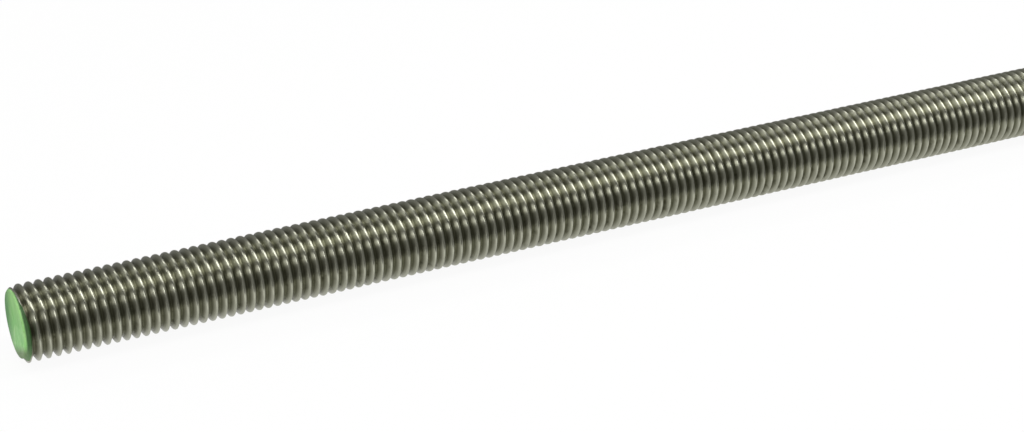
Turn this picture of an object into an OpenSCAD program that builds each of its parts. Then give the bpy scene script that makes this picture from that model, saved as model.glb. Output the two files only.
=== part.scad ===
// Threaded rod: a round bar with a full-length metric thread and chamfered ends.
// The rod lies along X. The origin is the centre of the colour-coded end face.
// The bar is drawn at the size over its thread crests.

/* [Thread] */
// Nominal thread diameter, in mm
nominal_diameter = 16; // [6:0.5:36]
// How far the rolled crests measure under the nominal diameter
crest_allowance = 0.28; // [0:0.02:0.4]

/* [Bar] */
// Length over the two end faces
rod_length = 300; // [60:5:1000]

/* [Ends] */
// Depth of each end chamfer, measured along the radius
chamfer_depth = 0.9; // [0.1:0.1:2]
// Angle between the chamfer and the rod's axis
chamfer_angle = 45; // [30:5:60]

/* [Hidden] */
$fn = 96;
crest_radius = (nominal_diameter - crest_allowance) / 2;
face_radius = crest_radius - chamfer_depth;
chamfer_length = chamfer_depth / tan(chamfer_angle);

// Half of the bar's lengthwise section, as [radius, distance from the coded end].
function half_section() = [
    [0, 0],
    [face_radius, 0],
    [crest_radius, chamfer_length],
    [crest_radius, rod_length - chamfer_length],
    [face_radius, rod_length],
    [0, rod_length]
];

// The whole bar, turned about the X axis.
module rod() {
    color("#8d8b7c")
        rotate([0, 90, 0])
            rotate_extrude()
                polygon(half_section());
}

rod();
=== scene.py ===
import math

import bmesh
import bpy
import numpy as np
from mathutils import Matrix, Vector


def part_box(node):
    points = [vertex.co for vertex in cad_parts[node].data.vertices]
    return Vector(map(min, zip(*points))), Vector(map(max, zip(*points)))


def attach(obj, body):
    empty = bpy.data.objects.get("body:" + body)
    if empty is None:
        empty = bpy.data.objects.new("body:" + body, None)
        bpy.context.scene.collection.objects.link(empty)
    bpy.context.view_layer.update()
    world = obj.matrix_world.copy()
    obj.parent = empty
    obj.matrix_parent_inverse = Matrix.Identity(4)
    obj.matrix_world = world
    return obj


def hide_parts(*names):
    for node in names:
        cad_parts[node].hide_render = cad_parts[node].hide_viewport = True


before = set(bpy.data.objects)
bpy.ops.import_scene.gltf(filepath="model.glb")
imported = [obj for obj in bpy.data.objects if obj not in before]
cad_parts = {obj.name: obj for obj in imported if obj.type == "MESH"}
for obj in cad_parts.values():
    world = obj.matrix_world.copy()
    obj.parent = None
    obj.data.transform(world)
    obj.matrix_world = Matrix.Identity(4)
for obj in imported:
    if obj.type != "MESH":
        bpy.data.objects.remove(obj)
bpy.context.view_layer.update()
rodLow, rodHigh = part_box("rod")
rodLength = rodHigh.x - rodLow.x
crestRadius = (rodHigh.z - rodLow.z) / 2
floorHeight = rodLow.z
print("frame loaded, the rod is", round(rodLength * 1000, 1), "mm long")


def addMesh(name, points, faces):
    mesh = bpy.data.meshes.new(name)
    mesh.from_pydata([tuple(p) for p in points], [], faces)
    mesh.validate()
    made = bpy.data.objects.new(name, mesh)
    bpy.context.scene.collection.objects.link(made)
    return made


# The rod is a thread with rolled crests, cut to length and chamfered as a real one is.

rod = {
    "pitch": 0.002,
    "pitchRadius": 0.00726,
    "flankAngle": 30,  # how far each flank leans from square to the axis, in degrees
    "startAngle": 34,  # where a crest meets the coded face, in degrees about the axis
    "cornerArc": 0.0002,  # rounding of the crest's two edges
    "faceRadius": 0.00696,
    "chamferAngle": 45,
    "columns": 64,
    "edgeShare": 0.5,  # where an extra point lies on the arc of a crest's edge
    "rootShare": 0.34,  # and two on the arc of the root, each side of its middle
    "crestWander": 0.00003,  # how much the height of the rolled crests varies
    "slowWander": (0.3, 0.83),  # its share, and how fast it goes round the helix
    "slowDrift": (1.7, 0.117),
    "quickWander": (0.2, 2.9),
    "wanderCurve": 3,  # keeps it to the crests
    "spareTurns": 2,  # cut off past each end
    "endSegments": 160,
    "clearance": 0.0003,  # between the crests and the blank that the bar is cut with
    "sliver": 0.000002,
    "squareness": 0.99,  # how nearly a face of the end points along the axis
    "chamferSlack": 0.02,  # and how nearly one of the chamfer leans as it should
    "smoothAngle": 40,
}
rod["slope"] = math.tan(math.radians(rod["flankAngle"]))
rod["sharpHeight"] = rod["pitch"] / 4 / rod["slope"]  # from the pitch line to a sharp crest
rod["rootArc"] = rod["sharpHeight"] / 3
rod["rootRadius"] = rod["pitchRadius"] - rod["sharpHeight"] + rod["rootArc"]
rod["crestHalf"] = rod["pitch"] / 4 - (crestRadius - rod["pitchRadius"]) * rod["slope"]
rod["flatHalf"] = rod["crestHalf"] - rod["cornerArc"] * rod["slope"]
rod["arcShare"] = math.cos(math.radians(rod["flankAngle"]))

# The paint that colour codes one end: how thick, and how far it runs past the face.
coat = {
    "thickness": 0.00005,
    "sink": 0.0001,  # how deep its underside lies in the steel
    "depth": 0.00035,
    "run": 0.00125,
    "runAngle": 175,  # the side that it runs furthest on, in degrees about the axis
    "ragged": 0.0001,
    "raggedWaves": (5, 11, 23, 47),  # how often its rim waves in one turn
    "rimCurve": 6,  # how late the film thins out towards its rim
    "underShare": 0.97,  # how wide its underside is, as a share of the face
    "columns": 256,
    "faceRings": 10,
    "sideRings": 26,
}


def threadRadius(x, angle):
    # Distance from the axis to the thread's surface, for arrays of places and angles.
    pitch = rod["pitch"]
    turns = x / pitch - angle / (2 * np.pi) + rod["startAngle"] / 360
    whole = np.round(turns)
    offset = np.abs(turns - whole) * pitch
    corner = np.clip(offset - rod["flatHalf"], 0, rod["cornerArc"])
    crest = crestRadius - rod["cornerArc"] + np.sqrt(rod["cornerArc"] ** 2 - corner ** 2)
    valley = np.clip(pitch / 2 - offset, 0, rod["rootArc"])
    root = rod["rootRadius"] + rod["rootArc"] - np.sqrt(rod["rootArc"] ** 2 - valley ** 2)
    radius = rod["pitchRadius"] + (pitch / 4 - offset) / rod["slope"]
    radius = np.where(offset < rod["flatHalf"] + rod["cornerArc"] * rod["arcShare"], crest, radius)
    radius = np.where(pitch / 2 - offset < rod["rootArc"] * rod["arcShare"], root, radius)
    # the crests rise and fall a little along the helix, as rolled ones do
    helix = angle + 2 * np.pi * whole
    slow, drift, quick = rod["slowWander"], rod["slowDrift"], rod["quickWander"]
    wander = 0.5 + slow[0] * np.sin(helix * slow[1] + drift[0] * np.sin(helix * drift[1]))
    wander = wander + quick[0] * np.sin(helix * quick[1])
    height = (radius - rod["rootRadius"]) / (crestRadius - rod["rootRadius"])
    return radius - rod["crestWander"] * wander * np.clip(height, 0, 1) ** rod["wanderCurve"]


def threadStations():
    # Where one pitch has its points, as shares of the pitch: over the crest, then over the root.
    edge = [rod["flatHalf"] + rod["cornerArc"] * s for s in (0, rod["edgeShare"], rod["arcShare"])]
    crest = [-e for e in reversed(edge)] + edge
    shares = (-rod["arcShare"], -rod["rootShare"], rod["rootShare"], rod["arcShare"])
    root = [rod["pitch"] / 2 + rod["rootArc"] * s for s in shares]
    return np.array(crest + root) / rod["pitch"]


def makeThreadedBar():
    # A closed threaded bar that runs past both ends of the rod, to be cut to length.
    pitch, columns, spare = rod["pitch"], rod["columns"], rod["spareTurns"]
    stations = threadStations()
    perTurn = len(stations)
    rows = (round(rodLength / pitch) + 2 * spare) * perTurn
    row, column = np.meshgrid(np.arange(rows), np.arange(columns))
    share = row // perTurn + stations[row % perTurn] + column / columns
    x = pitch * (share - spare - rod["startAngle"] / 360)
    angle = 2 * np.pi * column / columns
    radius = threadRadius(x, angle)
    points = np.stack([x, radius * np.cos(angle), radius * np.sin(angle)], -1).reshape(-1, 3)

    # each column joins the next, and the last joins the first one turn further on
    faces = []
    for i in range(columns):
        slip = perTurn if i == columns - 1 else 0
        here, there = i * rows, (i + 1) % columns * rows + slip
        for q in range(rows - 1 - slip):
            faces.append((here + q, there + q, there + q + 1, here + q + 1))

    # a fan to a point on the axis closes each end
    lastColumn = (columns - 1) * rows
    startEdge = list(range(perTurn, 0, -1)) + [i * rows for i in range(columns)]
    endEdge = [i * rows + rows - 1 for i in range(columns)]
    endEdge += [lastColumn + rows - 1 - k for k in range(1, perTurn + 1)]
    for edge, axisX in ((startEdge, x.min()), (endEdge[::-1], x.max())):
        middle = len(points)
        points = np.vstack([points, [axisX, 0, 0]])
        for a, b in zip(edge, edge[1:] + edge[:1]):
            faces.append((middle, b, a))
    return addMesh("threadedBar", points, faces)


def makeBlank():
    # The bar's ends: cut square, with a chamfer at each, and clear of the crests between them.
    segments = rod["endSegments"]
    reach = crestRadius - rod["faceRadius"] + rod["clearance"]
    run = reach / math.tan(math.radians(rod["chamferAngle"]))
    start, wide = coat["thickness"], rod["faceRadius"] + reach
    rings = [
        (start, rod["faceRadius"]),
        (start + run, wide),
        (rodLength - run, wide),
        (rodLength, rod["faceRadius"]),
    ]
    points, faces = [], []
    for x, radius in rings:
        for i in range(segments):
            angle = 2 * math.pi * i / segments
            points.append((x, radius * math.cos(angle), radius * math.sin(angle)))
    for r in range(len(rings) - 1):
        for i in range(segments):
            j = (i + 1) % segments
            a, b = r * segments, (r + 1) * segments
            faces.append((a + i, a + j, b + j, b + i))
    faces.append(tuple(range(segments))[::-1])
    faces.append(tuple(range(len(points) - segments, len(points))))
    return addMesh("blank", points, faces)


def cutToLength(bar, blank):
    cut = bar.modifiers.new("cut", "BOOLEAN")
    cut.operation = "INTERSECT"
    cut.solver = "MANIFOLD"
    cut.object = blank
    graph = bpy.context.evaluated_depsgraph_get()
    mesh = bpy.data.meshes.new_from_object(bar.evaluated_get(graph))

    # the cut leaves a few slivers, which close up when their points are merged
    shape = bmesh.new()
    shape.from_mesh(mesh)
    bmesh.ops.triangulate(shape, faces=shape.faces)
    bmesh.ops.remove_doubles(shape, verts=shape.verts, dist=rod["sliver"])
    bmesh.ops.dissolve_degenerate(shape, dist=rod["sliver"], edges=shape.edges)
    shape.to_mesh(mesh)
    shape.free()
    bar.modifiers.clear()
    bar.data = mesh
    bpy.data.objects.remove(blank)
    return bar


def makeCoat():
    # A closed film over the coded face and its chamfer, with its rim sunk into the steel.
    columns, faceRings, sideRings = coat["columns"], coat["faceRings"], coat["sideRings"]
    angle = np.arange(columns) * 2 * np.pi / columns
    toward = np.maximum(np.cos(angle - math.radians(coat["runAngle"])), 0)
    ragged = sum(np.sin(k * angle + k * k) / k ** 0.5 for k in coat["raggedWaves"])
    depth = coat["depth"] + coat["run"] * toward ** 2 + coat["ragged"] * ragged
    start = coat["thickness"]
    lean = math.tan(math.radians(rod["chamferAngle"]))

    def sideRing(share, lift):
        x = start + share * depth
        radius = np.minimum(threadRadius(x, angle), rod["faceRadius"] + (x - start) * lean)
        return x, radius + lift

    def faceRing(share, x):
        edge = np.minimum(threadRadius(np.full(columns, start), angle), rod["faceRadius"])
        return np.full(columns, x), edge * share

    film, buried = coat["thickness"], -coat["sink"]
    rings = [faceRing(k / faceRings, start - film) for k in range(1, faceRings)]
    x, radius = faceRing(1, start - film)
    rings.append((x, radius - film / 2))
    rings.append((x + film / 2, radius + film / 2))
    for k in range(1, sideRings + 1):
        fade = (k / sideRings) ** coat["rimCurve"]
        rings.append(sideRing(k / sideRings, film * (1 - fade) + buried * fade))
    rings += [sideRing(k / sideRings, buried) for k in range(sideRings - 1, 0, -1)]
    rings.append(faceRing(coat["underShare"], start - buried))

    points = [(start - film, 0, 0)]
    for x, radius in rings:
        points.extend(zip(x, radius * np.cos(angle), radius * np.sin(angle)))
    points.append((start - buried, 0, 0))
    faces = []
    last = 1 + (len(rings) - 1) * columns
    for i in range(columns):
        j = (i + 1) % columns
        faces.append((0, 1 + j, 1 + i))
        for a in range(1, last, columns):
            faces.append((a + i, a + j, a + columns + j, a + columns + i))
        faces.append((last + i, last + j, len(points) - 1))
    return addMesh("codeCoat", points, faces)


# How the rod's surface is laid out flat, for the sheet that its finish is baked to: it is unrolled
# in strips, with its two end discs beside them.
layout = {
    "sheet": "OFBake",
    "strips": 4,
    "across": 0.86,  # how much of the sheet's width the strips take
    "lap": 0.0015,  # spare length at each end of a strip
    "turnLap": 0.2,  # spare angle at each side of one, in radians
    "discSize": 0.12,
    "discRoom": 1.2,  # the height that each disc has, in its own size
}


def layOutRod(piece):
    mesh = piece.data
    sheet = mesh.uv_layers.new(name=layout["sheet"])
    points = np.empty(len(mesh.vertices) * 3, np.float32)
    mesh.vertices.foreach_get("co", points)
    points = points.reshape(-1, 3)
    strips, size, lap = layout["strips"], layout["discSize"], layout["lap"]
    length = rodLength / strips
    fullTurn = 2 * math.pi + 2 * layout["turnLap"]
    for face in mesh.polygons:
        corners = list(face.loop_indices)
        x, y, z = points[[mesh.loops[c].vertex_index for c in corners]].T
        if abs(face.normal.x) > rod["squareness"]:
            disc = 1 if face.center.x > rodLength / 2 else 0
            across = (1 + layout["across"]) / 2 + y / rod["faceRadius"] * size / 2
            up = (disc + 0.5) * size * layout["discRoom"] + z / rod["faceRadius"] * size / 2
        else:
            strip = min(max(int(face.center.x / length), 0), strips - 1)
            middle = math.atan2(face.center.z, face.center.y)
            turned = np.arctan2(z, y) - middle
            turned = middle + (turned + math.pi) % (2 * math.pi) - math.pi
            across = (x - strip * length + lap) / (length + 2 * lap) * layout["across"]
            up = (strip + (turned + math.pi + layout["turnLap"]) / fullTurn) / strips
        for corner, u, v in zip(corners, across, up):
            sheet.data[corner].uv = (u, v)


threadedRod = cutToLength(makeThreadedBar(), makeBlank())
threadedRod.name = "threadedRod"
layOutRod(threadedRod)
codeCoat = makeCoat()
for piece in (threadedRod, codeCoat):
    piece.data.shade_smooth()
    piece.data.set_sharp_from_angle(angle=math.radians(rod["smoothAngle"]))
    print(piece.name, "made,", sum(len(p.vertices) - 2 for p in piece.data.polygons), "triangles")


def newMaterial(name):
    material = bpy.data.materials.new(name)
    material.use_nodes = True
    return material, material.node_tree, material.node_tree.nodes["Principled BSDF"]


def setInput(tree, socket, value):
    if isinstance(value, bpy.types.NodeSocket):
        tree.links.new(value, socket)
    else:
        socket.default_value = value


def addMath(tree, operation, *values, clamp=False):
    node = tree.nodes.new("ShaderNodeMath")
    node.operation = operation
    node.use_clamp = clamp
    for socket, value in zip(node.inputs, values):
        setInput(tree, socket, value)
    return node.outputs[0]


def addRange(tree, value, fromLow, fromHigh, toLow=0.0, toHigh=1.0):
    node = tree.nodes.new("ShaderNodeMapRange")
    for socket, entry in zip(node.inputs, (value, fromLow, fromHigh, toLow, toHigh)):
        setInput(tree, socket, entry)
    return node.outputs[0]


def addColourMix(tree, share, first, second):
    node = tree.nodes.new("ShaderNodeMix")
    node.data_type = "RGBA"
    setInput(tree, node.inputs[0], share)
    setInput(tree, node.inputs[6], first)
    setInput(tree, node.inputs[7], second)
    return node.outputs[2]


def addNoise(tree, vector, scale, detail=2.0, roughness=0.5):
    node = tree.nodes.new("ShaderNodeTexNoise")
    setInput(tree, node.inputs["Vector"], vector)
    setInput(tree, node.inputs["Scale"], scale)
    node.inputs["Detail"].default_value = detail
    node.inputs["Roughness"].default_value = roughness
    return node.outputs["Fac"]


def addVector(tree, x, y, z):
    node = tree.nodes.new("ShaderNodeCombineXYZ")
    for socket, value in zip(node.inputs, (x, y, z)):
        setInput(tree, socket, value)
    return node.outputs[0]


def addBump(tree, height, distance):
    node = tree.nodes.new("ShaderNodeBump")
    node.inputs["Strength"].default_value = 1
    node.inputs["Distance"].default_value = distance
    setInput(tree, node.inputs["Height"], height)
    return node.outputs[0]


def splitVector(tree, vector):
    node = tree.nodes.new("ShaderNodeSeparateXYZ")
    tree.links.new(vector, node.inputs[0])
    return node.outputs


def objectPlace(tree):
    return tree.nodes.new("ShaderNodeTexCoord").outputs["Object"]


def newGroup(name, inputs, outputs):
    group = bpy.data.node_groups.new(name, "ShaderNodeTree")
    for label, kind, value in inputs:
        socket = group.interface.new_socket(label, in_out="INPUT", socket_type=kind)
        if value is not None:
            socket.default_value = value
    for label in outputs:
        group.interface.new_socket(label, in_out="OUTPUT", socket_type="NodeSocketFloat")
    return group, group.nodes.new("NodeGroupInput").outputs, group.nodes.new("NodeGroupOutput").inputs


def placeGroup(tree, group, values):
    node = tree.nodes.new("ShaderNodeGroup")
    node.node_tree = group
    for label, value in values.items():
        setInput(tree, node.inputs[label], value)
    return node.outputs


def makeRiseGroup():
    # How far a place stands out from the rod's axis: 0 at one radius and 1 at another.
    inputs = [
        ("Place", "NodeSocketVector", None),
        ("Inner", "NodeSocketFloat", 0.0),
        ("Outer", "NodeSocketFloat", 1.0),
    ]
    group, given, out = newGroup("riseFromAxis", inputs, ["Rise"])
    _, y, z = splitVector(group, given["Place"])
    squares = addMath(group, "ADD", addMath(group, "MULTIPLY", y, y), addMath(group, "MULTIPLY", z, z))
    radius = addMath(group, "SQRT", squares)
    group.links.new(addRange(group, radius, given["Inner"], given["Outer"]), out["Rise"])
    return group


specks = {
    "scale": 800.0,  # this and the cover are for a finish that gives none of its own
    "cover": 0.4,
    "detail": 4.0,
    "roughness": 0.62,
    "softness": 0.12,
}


def makeSpeckGroup():
    # Scattered spots with soft rims, for dirt, nicks and thin places.
    inputs = [
        ("Place", "NodeSocketVector", None),
        ("Scale", "NodeSocketFloat", specks["scale"]),
        ("Cover", "NodeSocketFloat", specks["cover"]),
    ]
    group, given, out = newGroup("specks", inputs, ["Mask"])
    noise = addNoise(group, given["Place"], given["Scale"], specks["detail"], specks["roughness"])
    edge = addMath(group, "SUBTRACT", 1.0, given["Cover"])
    inside = addMath(group, "ADD", edge, specks["softness"])
    group.links.new(addRange(group, noise, edge, inside), out["Mask"])
    return group


riseGroup = makeRiseGroup()
speckGroup = makeSpeckGroup()
noiseSpan = (0.35, 0.7)  # the values that most of a noise texture lies between
markGrain = (3.0, 0.6)  # the detail and roughness of the noise for marks and strokes

steel = {
    "colour": (0.495, 0.5, 0.4, 1),
    "valleyShadeAndSoilColour": (0.18, 0.181, 0.118, 1),  # painted shade in the valleys, with soil and oil that the rolling has left there
    "valleyRise": (0.15, 0.95),  # how far up the flanks the painted shade and soil of the valleys reach
    "grimeColour": (0.105, 0.102, 0.055, 1),
    "grimeScale": 420.0,
    "grimeCover": 0.46,
    "grimeShare": (0.15, 0.6),  # how much of it shows on the crests and in the valleys
    "grimeRoughness": 0.3,
    "nickScale": 2600.0,
    "nickCover": 0.36,
    "nickRoughness": 0.08,
    "nickDepth": -0.4,
    "roughness": (0.24, 0.42),
    "valleyRoughness": 0.14,
    "anisotropy": 0.9,
    "grainTurn": 0.25,  # the rolling marks run round the rod, a quarter turn from its tangent
    "markScale": 7.0,
    "marksAlong": 360.0,
    "markShare": 0.25,  # how much they darken
    "markDepth": 0.000006,
    "rippleScale": 1.6,
    "rippleDetail": 1.0,
    "ripplesAlong": 900.0,
    "rippleHeight": 3.5,  # against the marks
}


def makeSteel():
    material, tree, shader = newMaterial("rolledSteel")
    place = objectPlace(tree)
    reach = {"Place": place, "Inner": rod["rootRadius"], "Outer": crestRadius}
    rise = placeGroup(tree, riseGroup, reach)["Rise"]
    dirty = {"Place": place, "Scale": steel["grimeScale"], "Cover": steel["grimeCover"]}
    grime = placeGroup(tree, speckGroup, dirty)["Mask"]
    marked = {"Place": place, "Scale": steel["nickScale"], "Cover": steel["nickCover"]}
    nicks = placeGroup(tree, speckGroup, marked)["Mask"]

    # the place across one pitch, on a circle so that it has no seam, for marks that follow the thread
    x, y, z = splitVector(tree, place)
    turn = addMath(tree, "MULTIPLY", x, 2 * math.pi / rod["pitch"])
    phase = addMath(tree, "SUBTRACT", turn, addMath(tree, "ARCTAN2", z, y))
    across = [addMath(tree, name, phase) for name in ("COSINE", "SINE")]
    along = addMath(tree, "MULTIPLY", x, steel["marksAlong"])
    marks = addNoise(tree, addVector(tree, *across, along), steel["markScale"], *markGrain)
    along = addMath(tree, "MULTIPLY", x, steel["ripplesAlong"])
    ripple = addNoise(tree, addVector(tree, *across, along), steel["rippleScale"], steel["rippleDetail"])

    # the valleys are darkened as painted shade, with some soil: the deeper, the darker
    valley = addRange(tree, rise, *steel["valleyRise"], 1.0, 0.0)
    dirt = addMath(tree, "MULTIPLY", grime, addRange(tree, valley, 0.0, 1.0, *steel["grimeShare"]))
    streak = addRange(tree, marks, *noiseSpan, 0.0, steel["markShare"])
    colour = addColourMix(tree, valley, steel["colour"], steel["valleyShadeAndSoilColour"])
    colour = addColourMix(tree, addMath(tree, "MAXIMUM", dirt, streak), colour, steel["grimeColour"])
    setInput(tree, shader.inputs["Base Color"], colour)
    shader.inputs["Metallic"].default_value = 1
    shader.inputs["Anisotropic"].default_value = steel["anisotropy"]
    shader.inputs["Anisotropic Rotation"].default_value = steel["grainTurn"]
    around = tree.nodes.new("ShaderNodeTangent")
    around.direction_type = "RADIAL"
    around.axis = "X"
    setInput(tree, shader.inputs["Tangent"], around.outputs[0])
    rough = addRange(tree, marks, *noiseSpan, *steel["roughness"])
    rough = addMath(tree, "MULTIPLY_ADD", valley, steel["valleyRoughness"], rough)
    rough = addMath(tree, "MULTIPLY_ADD", dirt, steel["grimeRoughness"], rough)
    rough = addMath(tree, "MULTIPLY_ADD", nicks, steel["nickRoughness"], rough)
    setInput(tree, shader.inputs["Roughness"], rough)
    height = addMath(tree, "MULTIPLY_ADD", ripple, steel["rippleHeight"], marks)
    height = addMath(tree, "MULTIPLY_ADD", nicks, steel["nickDepth"], height)
    setInput(tree, shader.inputs["Normal"], addBump(tree, height, steel["markDepth"]))
    return material


cutSteel = {
    "colour": (0.36, 0.355, 0.295, 1),
    "stainColour": (0.2, 0.19, 0.14, 1),
    "stainScale": 300.0,
    "stainCover": 0.45,
    "stainShare": 0.5,
    "roughness": (0.3, 0.5),
    "sawPitch": 0.00035,
    "sawSlant": 0.18,
    "sawsAcross": 60.0,  # how fast a mark changes across the end
    "sawDepth": 0.00002,
}


def makeCutSteel():
    # The plain end and both chamfers are sawn, with fine marks nearly level.
    material, tree, shader = newMaterial("sawnSteel")
    place = objectPlace(tree)
    x, y, z = splitVector(tree, place)
    slant = addMath(tree, "MULTIPLY_ADD", y, cutSteel["sawSlant"], z)
    stroke = addMath(tree, "MULTIPLY", y, cutSteel["sawsAcross"])
    step = addMath(tree, "DIVIDE", slant, cutSteel["sawPitch"])
    lines = addNoise(tree, addVector(tree, 0.0, stroke, step), 1.0, *markGrain)
    marked = {"Place": place, "Scale": cutSteel["stainScale"], "Cover": cutSteel["stainCover"]}
    spots = placeGroup(tree, speckGroup, marked)["Mask"]
    stain = addMath(tree, "MULTIPLY", spots, cutSteel["stainShare"])
    colour = addColourMix(tree, stain, cutSteel["colour"], cutSteel["stainColour"])
    setInput(tree, shader.inputs["Base Color"], colour)
    shader.inputs["Metallic"].default_value = 1
    setInput(tree, shader.inputs["Roughness"], addRange(tree, lines, *noiseSpan, *cutSteel["roughness"]))
    setInput(tree, shader.inputs["Normal"], addBump(tree, lines, cutSteel["sawDepth"]))
    return material


# Places on the face are shares of its radius, y towards the back and z up.
paint = {
    "colour": (0.245, 0.57, 0.172, 1),
    "paleColour": (0.34, 0.61, 0.235, 1),
    "thinScale": 480.0,
    "thinCover": 0.5,
    "paleTowardsTop": (0.1, 0.75),  # how far up the face it turns paler
    "thinShare": 0.65,
    "strokesAcross": 1100.0,
    "strokesDown": 300.0,
    "strokeColour": (0.15, 0.45, 0.12, 1),
    "strokeShare": 0.7,
    "backRim": (0.15, 0.8),  # how far across the face the darker rim sets in
    "backRimColour": (0.1, 0.25, 0.095, 1),
    "backRimShare": 0.85,
    "frontRim": (0.1, -0.45),  # and how far towards the front the paler rim does
    "frontRimRise": (0.72, 0.88),
    "frontRimColour": (0.36, 0.68, 0.24, 1),
    "frontRimShare": 0.25,
    "dirtAndLowEdgeColour": (0.12, 0.165, 0.075, 1),
    "dirtScale": 900.0,
    "dirtCover": 0.46,
    "dirtRise": (0.86, 1.0),
    "dirtShare": 0.35,
    "lowEdge": (-0.63, -0.88),  # the paint is darker and greyer towards the face's low front edge
    "lowLean": 0.45,
    "lowShare": 0.8,
    "groove": (0.0002, 0.00045),  # how far past the face the paint is darkened as painted shade, in metres
    "grooveShadeColour": (0.04, 0.11, 0.03, 1),
    "grooveLow": (-0.1, -0.75),
    "grooveLowShadeColour": (0.12, 0.22, 0.085, 1),
    "roughness": (0.42, 0.56),
    "gloss": 0.3,
    "unevenScale": 1400.0,
    "unevenness": 0.00006,
}


def makePaint():
    # Brushed on the face, darker round the back of its rim, and darkened as painted shade where it has
    # run past the face.
    material, tree, shader = newMaterial("codePaint")
    place = objectPlace(tree)
    x, y, z = splitVector(tree, place)
    edge = rod["faceRadius"]

    def riseBetween(span):
        reach = {"Place": place, "Inner": edge * span[0], "Outer": edge * span[1]}
        return placeGroup(tree, riseGroup, reach)["Rise"]

    def spots(scale, cover):
        return placeGroup(tree, speckGroup, {"Place": place, "Scale": scale, "Cover": cover})["Mask"]

    def towards(value, span):
        return addRange(tree, value, edge * span[0], edge * span[1])

    def share(*masks):
        mask = masks[0]
        for other in masks[1:]:
            mask = addMath(tree, "MULTIPLY", mask, other, clamp=True)
        return mask

    thin = spots(paint["thinScale"], paint["thinCover"])
    # paler in scattered thin spots and towards the top of the face
    thin = addMath(tree, "MAXIMUM", thin, towards(z, paint["paleTowardsTop"]))
    dirt = spots(paint["dirtScale"], paint["dirtCover"])
    down = addMath(tree, "MULTIPLY", z, paint["strokesDown"])
    stroke = addVector(tree, 0.0, addMath(tree, "MULTIPLY", y, paint["strokesAcross"]), down)
    strokes = addRange(tree, addNoise(tree, stroke, 1.0, *markGrain), *noiseSpan)

    brushed = share(strokes, paint["strokeShare"])
    colour = addColourMix(tree, brushed, paint["colour"], paint["strokeColour"])
    colour = addColourMix(tree, share(thin, paint["thinShare"]), colour, paint["paleColour"])
    front = towards(y, paint["frontRim"])
    front = share(riseBetween(paint["frontRimRise"]), front, paint["frontRimShare"])
    colour = addColourMix(tree, front, colour, paint["frontRimColour"])
    # the face turns darker towards the back of its rim
    back = share(towards(y, paint["backRim"]), paint["backRimShare"])
    colour = addColourMix(tree, back, colour, paint["backRimColour"])
    # dirt specks near the rim, and a darker, greyer low front edge
    leant = addMath(tree, "MULTIPLY_ADD", y, paint["lowLean"], z)
    low = share(towards(leant, paint["lowEdge"]), paint["lowShare"])
    dirtAndLowEdge = share(dirt, riseBetween(paint["dirtRise"]), paint["dirtShare"])
    dirtAndLowEdge = addMath(tree, "MAXIMUM", dirtAndLowEdge, low)
    colour = addColourMix(tree, dirtAndLowEdge, colour, paint["dirtAndLowEdgeColour"])
    # painted shade: past the face, on the chamfer and in the first groove, the paint is darkened, less
    # so low down
    under = towards(z, paint["grooveLow"])
    groove = addColourMix(tree, under, paint["grooveShadeColour"], paint["grooveLowShadeColour"])
    colour = addColourMix(tree, addRange(tree, x, *paint["groove"]), colour, groove)
    setInput(tree, shader.inputs["Base Color"], colour)
    setInput(tree, shader.inputs["Roughness"], addRange(tree, strokes, 0.0, 1.0, *paint["roughness"]))
    shader.inputs["Specular IOR Level"].default_value = paint["gloss"]
    height = addMath(tree, "ADD", strokes, addNoise(tree, place, paint["unevenScale"]))
    setInput(tree, shader.inputs["Normal"], addBump(tree, height, paint["unevenness"]))
    return material


def finishRod():
    # The flat ends and the chamfers take the sawn finish, and the thread the rolled one.
    mesh = threadedRod.data
    mesh.materials.clear()
    mesh.materials.append(makeSteel())
    mesh.materials.append(makeCutSteel())
    run = (crestRadius - rod["faceRadius"]) / math.tan(math.radians(rod["chamferAngle"]))
    lean = math.cos(math.radians(rod["chamferAngle"]))
    for face in mesh.polygons:
        fromEnd = min(face.center.x, rodLength - face.center.x)
        square = abs(face.normal.x) > rod["squareness"]
        leans = abs(abs(face.normal.x) - lean) < rod["chamferSlack"]
        if square or (leans and fromEnd < run + coat["thickness"]):
            face.material_index = 1


finishRod()
codeCoat.data.materials.append(makePaint())
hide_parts("rod")
for piece in (threadedRod, codeCoat):
    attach(piece, "root")
print("finishes applied")

# The studio is pale paper under a long softbox, with a lamp to the left and cards for the steel.

laid = floorHeight + 0.0003  # cards that lie on the floor are just clear of it
studio = {
    "floorSize": 8.0,
    "floorColour": (0.86, 0.86, 0.85, 1),
    "floorRoughness": 0.9,
    "floorGloss": 0.1,
    "floorGlow": 0.93,  # how white it looks, itself and in reflections
    "skyLevel": 0.6,
    "softboxAngle": 77,  # above the horizon on the camera's side, in degrees
    "softboxDistance": 0.5,
    "softboxSize": (1.1, 0.17),
    "softboxCentre": 0.45,  # how far along the rod it hangs
    "softboxLevel": 3.7,  # how bright its face is, as on each lamp and card
    "backLampAngle": 127,
    "backLampDistance": 0.5,
    "backLampSize": (0.8, 0.085),
    "backLampCentre": 0.0,
    "backLampLevel": 2.4,
    "sideLampPlace": (-0.35, -0.27, 0.18),
    "sideLampAim": (0.02, 0, 0),
    "sideLampSize": (0.22, 0.055),
    "sideLampLevel": 12.0,
}

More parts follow.
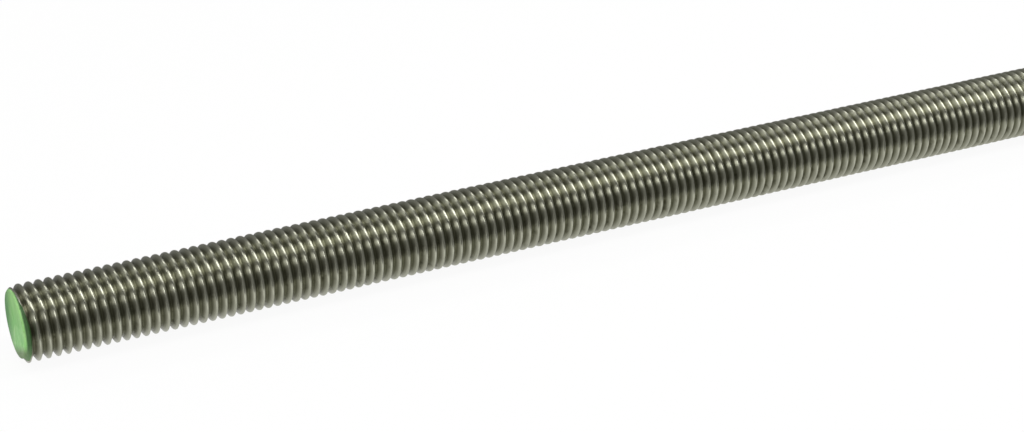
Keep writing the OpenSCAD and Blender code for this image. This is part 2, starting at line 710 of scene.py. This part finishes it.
# Cards that only reflections show. Those along the rod have a profile across it, as (y, z) places,
# or are bent round it from one angle to another. Those at its coded end are flat, square to the rod.
cards = {
    "reach": 1.4,
    "bendRadius": 0.6,
    "bendSteps": 12,
}
longCards = {
    "underCard": {"shade": 0.76, "profile": [(0.002, laid), (-0.011, laid)]},
    "nearCard": {"shade": 0.96, "profile": [(-0.011, laid), (-0.0195, laid)]},
    "lowScreen": {"shade": 0.17, "profile": [(-0.0195, laid), (-0.034, laid), (-0.034, -0.003)]},
    "midScreen": {"shade": 0.24, "profile": [(-0.034, -0.003), (-0.034, 0.0165)]},
    "rightPanel": {"shade": 0.05, "angles": (24, 43), "from": 0.0},
    "frontPanel": {"shade": 0.05, "angles": (43, 62)},
    "ceilingPanel": {"shade": 0.08, "angles": (85, 114)},
    "farPanel": {"shade": 0.18, "angles": (114, 131), "from": 0.45},
    "backScreen": {"shade": 0.28, "profile": [(0.013, laid), (0.25, laid), (0.25, 0.3)]},
}
endCards = {
    "endScreen": {"shade": 0.1, "x": -0.5, "y": (-0.35, 0.45), "z": (laid, 0.35)},
    "endGlow": {"shade": 5.5, "x": -0.49, "y": (0.1, 0.27), "z": (0.08, 0.26)},
}


def seenAsWhite(tree):
    # 1 where the camera, or something glossy or clear, looks at the surface
    path = tree.nodes.new("ShaderNodeLightPath").outputs
    seen = addMath(tree, "MAXIMUM", path["Is Camera Ray"], path["Is Glossy Ray"])
    return addMath(tree, "MAXIMUM", seen, path["Is Transmission Ray"])


def addShaderMix(tree, share, first, second, output):
    mix = tree.nodes.new("ShaderNodeMixShader")
    setInput(tree, mix.inputs[0], share)
    tree.links.new(first, mix.inputs[1])
    tree.links.new(second, mix.inputs[2])
    tree.links.new(mix.outputs[0], tree.nodes[output].inputs["Surface"])


def makeFloor():
    half, z = studio["floorSize"] / 2, floorHeight
    corners = [(-half, -half, z), (half, -half, z), (half, half, z), (-half, half, z)]
    floor = addMesh("floor", corners, [(0, 1, 2, 3)])
    material, tree, shader = newMaterial("floorPaper")
    shader.inputs["Base Color"].default_value = studio["floorColour"]
    shader.inputs["Roughness"].default_value = studio["floorRoughness"]
    shader.inputs["Specular IOR Level"].default_value = studio["floorGloss"]
    glow = tree.nodes.new("ShaderNodeEmission")
    share = addMath(tree, "MULTIPLY", seenAsWhite(tree), studio["floorGlow"])
    addShaderMix(tree, share, shader.outputs[0], glow.outputs[0], "Material Output")
    floor.data.materials.append(material)


def makeSky():
    world = bpy.data.worlds.new("studioAir")
    bpy.context.scene.world = world
    world.use_nodes = True
    tree = world.node_tree
    air = tree.nodes["Background"]
    air.inputs["Strength"].default_value = studio["skyLevel"]
    air.inputs["Color"].default_value = (1, 1, 1, 1)
    white = tree.nodes.new("ShaderNodeBackground")
    white.inputs["Color"].default_value = (1, 1, 1, 1)
    addShaderMix(tree, seenAsWhite(tree), air.outputs[0], white.outputs[0], "World Output")


def besideRod(elevation, distance):
    # Across the rod: 0 degrees is level with it in front, 90 above it and 180 behind it.
    turn = math.radians(elevation)
    return -distance * math.cos(turn), distance * math.sin(turn)


def makeLamp(name, place, aim, size, level):
    light = bpy.data.lights.new(name, "AREA")
    light.shape = "RECTANGLE"
    light.size, light.size_y = size
    light.energy = level * math.pi * light.size * light.size_y
    lamp = bpy.data.objects.new(name, light)
    bpy.context.scene.collection.objects.link(lamp)
    lamp.location = place
    lamp.rotation_euler = (Vector(aim) - Vector(place)).to_track_quat("-Z", "Y").to_euler()
    lamp.visible_camera = False


def makeCard(name, rows, shade):
    # A card that only reflections show, from rows of two or more points.
    wide = len(rows[0])
    points = [point for row in rows for point in row]
    faces = []
    for r in range(len(rows) - 1):
        for k in range(r * wide, r * wide + wide - 1):
            faces.append((k, k + 1, k + wide + 1, k + wide))
    card = addMesh(name, points, faces)
    material, tree, shader = newMaterial(name)
    shader.inputs["Base Color"].default_value = (0, 0, 0, 1)
    shader.inputs["Specular IOR Level"].default_value = 0
    shader.inputs["Emission Color"].default_value = (shade, shade, shade, 1)
    shader.inputs["Emission Strength"].default_value = 1
    card.data.materials.append(material)
    for ray in ("camera", "diffuse", "transmission", "shadow", "volume_scatter"):
        setattr(card, "visible_" + ray, False)


def makeLongCard(name, card):
    steps, angles = cards["bendSteps"], card.get("angles")
    if angles:
        turns = [angles[0] + (angles[1] - angles[0]) * k / steps for k in range(steps + 1)]
        profile = [besideRod(turn, cards["bendRadius"]) for turn in turns]
    else:
        profile = card["profile"]
    middle = rodLength / 2
    ends = (card.get("from", middle - cards["reach"]), middle + cards["reach"])
    makeCard(name, [[(x, y, z) for x in ends] for y, z in profile], card["shade"])


def hangLamp(name):
    y, z = besideRod(studio[name + "Angle"], studio[name + "Distance"])
    centre = studio[name + "Centre"]
    makeLamp(name, (centre, y, z), (centre, 0, 0), studio[name + "Size"], studio[name + "Level"])


makeFloor()
makeSky()
hangLamp("softbox")
hangLamp("backLamp")
makeLamp("sideLamp", *(studio["sideLamp" + part] for part in ("Place", "Aim", "Size", "Level")))
for name, card in longCards.items():
    makeLongCard(name, card)
for name, card in endCards.items():
    makeCard(name, [[(card["x"], y, z) for y in card["y"]] for z in card["z"]], card["shade"])
print("studio set")

view = {
    "lens": 80.9,
    "turn": 26.33,  # from square-on towards the coded end, in degrees
    "height": 26.61,  # above the horizon, in degrees
    "distance": 0.4923,
    "aim": (0.1083, 0, -0.00025),
    "filmWidth": 36,
    "clip": (0.01, 50),  # the nearest and furthest that it sees, in metres
}


def makeCamera():
    turn, height = math.radians(view["turn"]), math.radians(view["height"])
    level = math.cos(height)
    back = Vector((-math.sin(turn) * level, -math.cos(turn) * level, math.sin(height)))
    lens = bpy.data.cameras.new("camera")
    lens.lens = view["lens"]
    lens.sensor_width = view["filmWidth"]
    lens.clip_start, lens.clip_end = view["clip"]
    camera = bpy.data.objects.new("camera", lens)
    bpy.context.scene.collection.objects.link(camera)
    camera.location = Vector(view["aim"]) + back * view["distance"]
    camera.rotation_euler = (-back).to_track_quat("-Z", "Y").to_euler()
    bpy.context.scene.camera = camera


makeCamera()
bpy.context.scene.view_settings.view_transform = "Standard"
print("camera placed")
